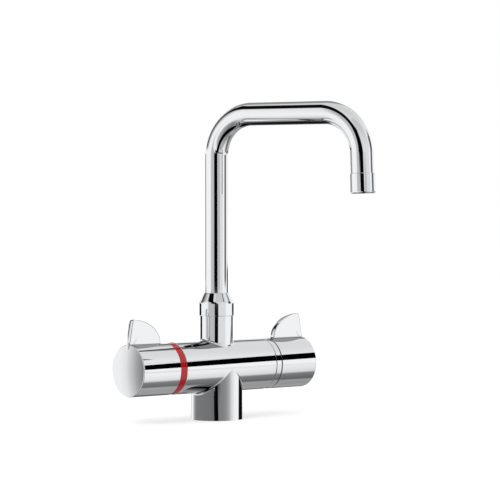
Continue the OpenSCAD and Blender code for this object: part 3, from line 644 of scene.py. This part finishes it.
def wing_foot():
    """Fillet where the wing stands on the knob, as a ball of radius f rolls round its foot: its centre
    lies f out from the wing and R + f from the knob's axis. Towards the knob's rounded rim f falls to
    nothing along a quarter circle."""
    e, half, foot = WING_EDGE, WING_T / 2, KNOB_END + WING_PROUD
    toe = foot - WING_L
    z = KNOB_END - np.array([0.15, 0.25, 0.4, 0.6, 0.9, 1.3, 1.9, 8, 18, 28, 35])
    round_toe = np.radians(np.linspace(90, 0, 7))
    beyond = len(round_toe) + 1
    fall_start, fall_l = KNOB_END - 1.9, 1.8
    thin = np.concatenate([np.sqrt(1 - ((z - fall_start).clip(0) / fall_l) ** 2), np.ones(beyond)])
    rim = RIM_ROUND - np.sqrt(RIM_ROUND**2 - (z - KNOB_END + RIM_ROUND).clip(0) ** 2)
    edge = e - np.sqrt(e**2 - (z - foot + e).clip(0) ** 2)
    r = BODY_R - np.concatenate([rim, np.zeros(beyond)])
    a = np.concatenate([np.full(len(z), math.pi / 2), round_toe, [0]])
    out = np.stack([0 * a, np.sin(a), -np.cos(a)], -1)
    wall_y = np.concatenate([half - edge, half - e + e * np.sin(round_toe), [0]])
    wall_z = np.concatenate([z, toe + e - e * np.cos(round_toe), [toe]])
    f = WING_FILLET * thin
    centre = np.stack([0 * f, wall_y, wall_z], -1) + f[:, None] * out
    centre[:, 0] = np.sqrt((r + f) ** 2 - centre[:, 1] ** 2)
    on_knob = centre * np.stack([r / (r + f), r / (r + f), 1 + 0 * r], -1)
    arc = ball_arc(centre, (on_knob - centre) / f[:, None], -out, f[:, None], 8)
    sunk = 0.4
    hidden = np.stack([np.sqrt(r**2 - wall_y**2) - sunk, wall_y, wall_z], -1) - sunk * out
    section = np.concatenate([arc, hidden[None]]).swapaxes(0, 1)
    section = np.concatenate([section, section[-2::-1] * [1, -1, 1]])
    ends = [np.broadcast_to(section[i, -1], (1,) + section.shape[1:]) for i in (0, -1)]
    return np.concatenate([ends[0], section, ends[1]])


def collar():
    """Collar: a skirt and a conical shoulder outside, a bore with a lip and a threaded neck inside, turned
    round the swivel axis."""
    top, neck = BOSS_TOP + COLLAR_H, BOSS_TOP - COLLAR_NECK
    corners = [
        (COLLAR_R, BOSS_TOP, 0.35), (COLLAR_R, BOSS_TOP + COLLAR_SKIRT, 5.0), (COLLAR_TOP_R, top, 0.4),
        (TUBE_R + FIT_GAP, top, 0.15), (TUBE_R + FIT_GAP, COLLAR_LIP_Z, 0), (COLLAR_BORE_R, COLLAR_LIP_Z, 0),
        (COLLAR_BORE_R, neck, 0.2), (COLLAR_THREAD_R, neck, 0.3), (COLLAR_THREAD_R, BOSS_TOP, 0),
    ]
    return [(turned(rounded_profile(corners)), True, True)]


def spout_tube():
    """Bent tube: a circle carried along the spout's middle line, two straight runs, two bends of radius R
    about (R, run - R) and (reach - R tan, run - R), and the leaning outlet; outside, round the end and
    back inside."""
    bend = math.pi / 2 - OUTLET_LEAN
    reach = BEND_R * math.tan(bend / 2)
    far = SPOUT_REACH - reach
    turns = [(math.pi, math.pi / 2), (math.pi / 2, OUTLET_LEAN)]
    angles = [np.linspace(start, end, BEND_STEPS + 1) for start, end in turns]
    arms = [np.stack([np.cos(a), np.sin(a)], -1) for a in angles]
    bends = [np.array([x, RUN_H - BEND_R]) + BEND_R * arm for x, arm in zip((BEND_R, far), arms)]
    below_bend = OUTLET_DROP - NOZZLE_L + TUBE_IN_NOZZLE - reach
    end = bends[1][-1:] + below_bend * np.array([math.sin(OUTLET_LEAN), -math.cos(OUTLET_LEAN)])
    riser, middle = [[0, TUBE_FOOT], [0, 150.0], [0, 210.0]], [[(BEND_R + far) / 2, RUN_H]]
    line = np.concatenate([riser, bends[0], middle, bends[1], end])
    out = np.concatenate([[[-1.0, 0.0]] * len(riser), arms[0], [[0, 1.0]], arms[1], arms[1][-1:]])
    a = round_angles(SPOUT_SIDES)
    skins = []
    for r in (TUBE_R, TUBE_BORE_R):
        x = line[:, 0, None] + r * out[:, 0, None] * np.cos(a)
        z = line[:, 1, None] + r * out[:, 1, None] * np.cos(a)
        skins.append(np.stack([x, r * np.sin(a) + 0 * x, z], -1))
    return [(spout_side(np.concatenate([skins[0], skins[1][::-1]])), True, True)]


def nozzle():
    """Nozzle sleeve: its section, with a rounded mouth, turned round the leaning outlet."""
    top = NOZZLE_L - OUTLET_DROP
    tube_end = top - TUBE_IN_NOZZLE
    ledge = tube_end - NOZZLE_LEDGE
    corners = [
        (NOZZLE_R, top, 0.4), (NOZZLE_R, -OUTLET_DROP, 1.5), (NOZZLE_BORE_R, -OUTLET_DROP, 0.3),
        (NOZZLE_BORE_R, ledge, 0), (TUBE_BORE_R, ledge, 0), (TUBE_BORE_R, tube_end, 0),
        (TUBE_R, tube_end, 0), (TUBE_R, top, 0),
    ]
    return [(outlet(turned(rounded_profile(corners, 8), SPOUT_SIDES)), True, True)]


def spring(node, moving, wire, axis, turns=4):
    """Coil spring in a node's place: the wire's circle carried along a helix about the axis, closed at both
    ends. Its high end stands on the tap's body and its low end on the moving body. Both bodies and both ends
    are handed to make_piece, which doesn't use them, so the coil rides on no body and doesn't shorten with
    the joint."""
    low, high = np.array(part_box(node)) / MM
    radius = (high[1] - low[1] - wire) / 2
    t = np.linspace(0, 2 * math.pi * turns, COIL_STEPS * turns + 1)[:, None]
    a = round_angles(WIRE_SIDES)
    along = wire / 2 + (high[axis] - low[axis] - wire) * t / t[-1]
    r = radius + wire / 2 * np.cos(a)
    skin = np.stack([r * np.cos(t), r * np.sin(t), along + wire / 2 * np.sin(a)], -1)
    core = np.stack([radius * np.cos(t), radius * np.sin(t), along], -1) + 0 * skin
    skin = np.concatenate([core[:1], skin, core[-1:]])
    if axis == 0:
        skin = skin[..., ::-1] * [1, 1, -1]
    foot = (low + high) / 2
    foot[axis] = low[axis]
    head = foot.copy()
    head[axis] = high[axis]
    follows = ("tap_body", moving, tuple(head * MM), tuple(foot * MM))
    make_piece(node + "_coil", follows, steel, [(skin + foot, False, True)], [node])


make_piece("plated_casting", "tap_body", chrome, casting_skin())
make_piece("red_ring", "tap_body", red_abs, ring(hot_side), ["hot_indicator_ring"])
make_piece("trim_ring", "tap_body", chrome, ring(flow_side, TRIM_GROOVE), ["flow_trim_ring"])
make_piece("left_knob", "temperature_control", chrome, knob(hot_side), ["temperature_knob"])
make_piece("right_knob", "flow_control", chrome, knob(flow_side), ["flow_knob"])
make_piece("domed_collar", "tap_body", chrome, collar(), ["spout_collar"])
make_piece("bent_tube", "spout", chrome, spout_tube(), ["spout_tube"])
make_piece("nozzle_sleeve", "spout", chrome, nozzle(), ["nozzle_housing"])
spring("hot_check_spring", "hot_check", 0.6, 2)
spring("cold_check_spring", "cold_check", 0.6, 2)
spring("thermo_return_spring", "shuttle", 1.0, 0)


def camera():
    """Perspective camera at the photograph's place."""
    data = bpy.data.cameras.new("camera")
    data.lens = CAMERA_LENS
    data.sensor_width = 36
    data.clip_end = 50
    place = placed("camera", data)
    place.location = CAMERA_PLACE
    level = math.cos(CAMERA_PITCH)
    east, north = math.sin(CAMERA_AZIMUTH) * level, math.cos(CAMERA_AZIMUTH) * level
    look = Vector((east, north, math.sin(CAMERA_PITCH)))
    place.rotation_euler = look.to_track_quat("-Z", "Y").to_euler()
    bpy.context.scene.camera = place


# What the chrome sees, by direction: greys by height, from straight down at -1 to straight up at 1
SKY = [
    (-1.0, "#969696"), (-0.87, "#B3B3B3"), (-0.75, "#CBCBCB"), (-0.62, "#E2E2E2"), (-0.5, "#F2F2F2"),
    (-0.3, "#FCFCFC"), (0.1, "#FFFFFF"), (0.4, "#F8F8F8"), (0.7, "#E6E6E6"), (1.0, "#D9D9D9"),
]
# Directions are written as shares towards the photograph's camera, to its right, and up
NEAR, FAR, RIGHT, LEFT = (1, 0, 0), (-1, 0, 0), (0, 1, 0), (0, -1, 0)
LOW, HIGH = (0, 0, -1), (0, 0, 1)
# Each flag darkens the directions within a half width of the plane n . d = k, and where every mask n . d is
# past its second value: n, k, half width, softness, share of light left, masks (n, from, to)
FLAGS = [
    ((0.084, -0.842, -0.534), 0.125, 0.17, 0.06, 0.004,
        [(NEAR, -0.48, -0.4), (LEFT, -0.52, -0.45), (HIGH, -0.042, -0.038)]),
    ((0, 0.601, -0.799), 0.04, 0.12, 0.02, 0.004,
        [(NEAR, 0.5, 0.6), (LOW, 0.04, 0.042), (HIGH, -0.13, -0.115)]),
    ((-0.13, 0.99, 0.03), 0, 0.18, 0.05, 0.004, [(NEAR, -0.1, 0), (LOW, 0.095, 0.12)]),
    ((0.375, 0.927, 0), 0, 0.2, 0.07, 0.004, [(NEAR, 0, 0.1), (HIGH, 0.02, 0.05), (LOW, -0.6, -0.5)]),
    ((0.242, 0.97, 0), 0, 0.15, 0.05, 0.01, [(NEAR, 0, 0.1), (HIGH, -0.04, -0.036), (LOW, -0.1, -0.04)]),
    ((-0.42, 0.906, 0), 0, 0.06, 0.16, 0.6, [(NEAR, 0, 0.1), (HIGH, -0.04, -0.036), (LOW, -0.1, -0.04)]),
    ((0.766, -0.643, 0), 0, 0.12, 0.65, 0.09,
        [((-0.643, -0.766, 0), 0, 0.2), ((0.643, -0.766, 0), -0.04, 0.06),
         (HIGH, 0.06, 0.12), (LOW, -0.74, -0.66)]),
    ((0.974, 0.225, 0), 0, 0.12, 0.25, 0.12,
        [(RIGHT, 0.5, 0.6), ((0.906, 0.423, 0), -0.04, 0.04), (HIGH, -0.037, -0.033), (LOW, -0.5, -0.4)]),
    ((0.966, 0.285, 0), 0, 0.16, 0.1, 0.35, [(RIGHT, 0.5, 0.6), (LOW, 0.09, 0.13)]),
    ((0.966, 0.285, 0), 0, 0.1, 0.12, 0.32, [(RIGHT, 0.2, 0.5), (HIGH, 0.06, 0.14), (LOW, -0.6, -0.42)]),
    (HIGH, -0.09, 0.03, 0.01, 0.004, [((-0.92, 0.39, 0), 0.74, 0.8)]),
    (HIGH, -0.045, 0.015, 0.005, 0.004, [((-0.92, 0.39, 0), 0.86, 0.91)]),
    (HIGH, -0.053, 0.012, 0.008, 0.004, [((-0.927, -0.375, 0), 0.8, 0.86)]),
    (HIGH, 0, 0.03, 0.01, 0.3, [((-0.956, -0.292, 0), 0.83, 0.88)]),
    (HIGH, -0.105, 0.035, 0.01, 0.3, [(NEAR, -0.15, 0.95), (RIGHT, -0.05, 0.05)]),
    ((0.53, 0.848, 0), 0, 0.32, 0.24, 0.55, [(NEAR, 0, 0.2), (HIGH, -0.075, -0.06), (LOW, -0.62, -0.5)]),
    (HIGH, -0.52, 0.32, 0.08, 0.45, [((-0.766, 0.643, 0), 0.45, 0.75)]),
    (HIGH, 0.48, 0.06, 0.04, 0.25, [((-0.985, 0.17, 0), 0.78, 0.85)]),
    ((0.72, -0.19, -0.667), 1, 0.07, 0.12, 0.45, []),
    ((0.612, 0.354, -0.707), 1, 0.1, 0.13, 0.5, []),
    ((0.814, 0.47, 0.342), 1, 0.2, 0.12, 0.8, []),
    ((-0.087, 0.996, 0), 0, 0.1, 0.15, 0.2, [(FAR, 0.3, 0.5), (LOW, 0.12, 0.2)]),
    ((-0.727, -0.155, 0.669), 1, 0.03, 0.057, 0.38, []),
    ((-0.586, -0.19, -0.788), 1, 0.035, 0.04, 0.02, []),
]
# Share of its light that the tent keeps when the chrome sees it in its own mirror image
TWICE = 0.42
# Cards that only mirror reflections see: two lower and two upper corners in mm, and greys by share of the
# length
CARDS = {
    "barrel_card": (
        [(-100, -35, 54.5), (130, -35, 59.4), (-100, -35, 63), (130, -35, 72.7)],
        [(0, "#000000"), (1, "#000000")],
    ),
    "dome_card": (
        [(-231.6, 54, -80), (-124.8, 144.5, -80), (-231.6, 54, 98), (-124.8, 144.5, 98)],
        [(0, "#848484"), (0.066, "#8C8C8C"), (0.165, "#9F9F9F"), (0.23, "#ADADAD"), (0.299, "#C2C2C2"),
         (0.39, "#D8D8D8"), (0.48, "#EEEEEE"), (0.63, "#FAFAFA"), (1, "#FFFFFF")],
    ),
    "pedestal_card": (
        [(-59.7, 267.5, -28), (-128.4, -110.5, -14), (-59.7, 267.5, 5), (-128.4, -110.5, 26)],
        [(0, "#FFFFFF"), (0.1, "#D9D9D9"), (0.314, "#ADADAD"), (0.407, "#8E8E8E"), (0.467, "#7F7F7F"),
         (0.87, "#767676"), (1, "#6E6E6E")],
    ),
}
# What everything but mirrors and the camera gets from the world
EVEN_LIGHT = "#E1E1E1"
FLOOR_COLOUR = "#E9E9E9"
# Light that the camera alone sees on the floor, so that it ends in white
FLOOR_GLOW = 0.42
FLOOR_HALF = 30.0


def grey_ramp(tree, share, greys):
    """Colour ramp over a share from 0 to 1, whose first and last greys stand at 0 and 1."""
    ramp = add(tree, "ShaderNodeValToRGB", None, {"Fac": share})
    stops = ramp.color_ramp.elements
    stops[0].color, stops[1].color = linear(greys[0][1]), linear(greys[-1][1])
    for place, tone in greys[1:-1]:
        stops.new(place).color = linear(tone)
    return ramp.outputs["Color"]


def cards():
    """Cards beside the tap, each a strip of greys along its length, seen by nothing but mirror
    reflections."""
    for name, (corners, greys) in CARDS.items():
        mesh = bpy.data.meshes.new(name)
        mesh.from_pydata(np.array(corners, float) * MM, [], [(0, 1, 3, 2)])
        mesh.uv_layers.new(name="along").data.foreach_set("uv", [0, 0, 1, 0, 1, 0, 0, 0])
        material = bpy.data.materials.new(name)
        tree = empty_tree(material)
        along = add(tree, "ShaderNodeUVMap", {"uv_map": "along"}).outputs["UV"]
        share = add(tree, "ShaderNodeSeparateXYZ", None, {"Vector": along}).outputs["X"]
        glow = add(tree, "ShaderNodeEmission", None, {"Color": grey_ramp(tree, share, greys)})
        add(tree, "ShaderNodeOutputMaterial", None, {"Surface": glow.outputs["Emission"]})
        mesh.materials.append(material)
        card = placed(name, mesh)
        card.visible_camera = False
        card.visible_diffuse = False
        card.visible_shadow = False
        card.visible_transmission = False


def floor():
    """Pale floor. The camera sees it a little brighter, so that it ends in white, and its shadow stays.
    Mirror reflections see the world's own lower half instead."""
    half = FLOOR_HALF
    mesh = bpy.data.meshes.new("floor")
    corners = [(-half, -half, 0), (half, -half, 0), (half, half, 0), (-half, half, 0)]
    mesh.from_pydata(corners, [], [(0, 1, 2, 3)])
    material = bpy.data.materials.new("white_paper_floor")
    tree = empty_tree(material)
    matt = add(tree, "ShaderNodeBsdfDiffuse", {"Color": linear(FLOOR_COLOUR)})
    to_camera = add(tree, "ShaderNodeLightPath").outputs["Is Camera Ray"]
    lift = add(tree, "ShaderNodeMath", {"operation": "MULTIPLY", 1: FLOOR_GLOW}, {0: to_camera})
    glow = add(tree, "ShaderNodeEmission", None, {"Strength": lift.outputs[0]})
    both = add(tree, "ShaderNodeAddShader", None, {0: matt.outputs["BSDF"], 1: glow.outputs["Emission"]})
    add(tree, "ShaderNodeOutputMaterial", None, {"Surface": both.outputs["Shader"]})
    mesh.materials.append(material)
    plane = placed("floor", mesh)
    plane.visible_glossy = False


def lamp():
    """One soft lamp above the left front, which gives the shadow its direction."""
    data = bpy.data.lights.new("soft_lamp", "AREA")
    data.shape = "DISK"
    data.size = 1.0
    data.energy = 6.5
    place = placed("soft_lamp", data)
    place.location = (-1.1, -0.6, 1.2)
    place.rotation_euler = (Vector((0, 0, 0.1)) - place.location).to_track_quat("-Z", "Y").to_euler()
    place.visible_glossy = False


def studio():
    """A white tent with dark flags, which only mirror reflections see, and an even light on everything
    else. Each further reflection sees the tent dimmer, by TWICE to the power of the reflections before it."""
    world = bpy.data.worlds.new("studio")
    bpy.context.scene.world = world
    tree = empty_tree(world)
    ray = add(tree, "ShaderNodeTexCoord").outputs["Generated"]
    height = add(tree, "ShaderNodeSeparateXYZ", None, {"Vector": ray}).outputs["Z"]
    share = add(tree, "ShaderNodeMapRange", {"From Min": -1.0}, {"Value": height}).outputs["Result"]
    light = grey_ramp(tree, share, [((up + 1) / 2, tone) for up, tone in SKY])
    s, c = math.sin(CAMERA_AZIMUTH), math.cos(CAMERA_AZIMUTH)
    for n, k, half, soft, left, masks in FLAGS:
        edges = [(n, half, half + soft, left, 1.0)] + [(*mask, 0.0, 1.0) for mask in masks]
        ramps = []
        for (near, right, up), low, high, start, end in edges:
            axis = (-s * near + c * right, -c * near - s * right, up)
            dot = {"operation": "DOT_PRODUCT", 1: axis}
            value = add(tree, "ShaderNodeVectorMath", dot, {0: ray}).outputs["Value"]
            if not ramps:
                off = add(tree, "ShaderNodeMath", {"operation": "SUBTRACT", 1: k}, {0: value}).outputs[0]
                value = add(tree, "ShaderNodeMath", {"operation": "ABSOLUTE"}, {0: off}).outputs[0]
            span = {"From Min": low, "From Max": high, "To Min": start, "To Max": end}
            smooth = {"interpolation_type": "SMOOTHSTEP", **span}
            ramps.append(add(tree, "ShaderNodeMapRange", smooth, {"Value": value}).outputs["Result"])
        flag = ramps[0]
        for mask in ramps[1:]:
            flag = add(tree, "ShaderNodeMix", {"data_type": "FLOAT", 2: 1.0}, {0: mask, 3: flag}).outputs[0]
        light = add(tree, "ShaderNodeVectorMath", {"operation": "SCALE"}, {0: light, "Scale": flag})
        light = light.outputs["Vector"]
    path = add(tree, "ShaderNodeLightPath").outputs
    earlier = add(tree, "ShaderNodeMath", {"operation": "SUBTRACT", 1: 1.0}, {0: path["Glossy Depth"]})
    kept = add(tree, "ShaderNodeMath", {"operation": "POWER", 0: TWICE}, {1: earlier.outputs[0]}).outputs[0]
    light = add(tree, "ShaderNodeVectorMath", {"operation": "SCALE"}, {0: light, "Scale": kept})
    colours = {"data_type": "RGBA", 6: linear(EVEN_LIGHT), 7: (1, 1, 1, 1)}
    even = add(tree, "ShaderNodeMix", colours, {0: path["Is Camera Ray"]})
    ways = {0: path["Is Glossy Ray"], 6: even.outputs[2], 7: light.outputs["Vector"]}
    seen = add(tree, "ShaderNodeMix", {"data_type": "RGBA"}, ways)
    back = add(tree, "ShaderNodeBackground", {"Strength": 1.0}, {"Color": seen.outputs[2]})
    add(tree, "ShaderNodeOutputWorld", None, {"Surface": back.outputs["Background"]})


camera()
studio()
floor()
lamp()
cards()
bpy.context.scene.view_settings.view_transform = "Standard"
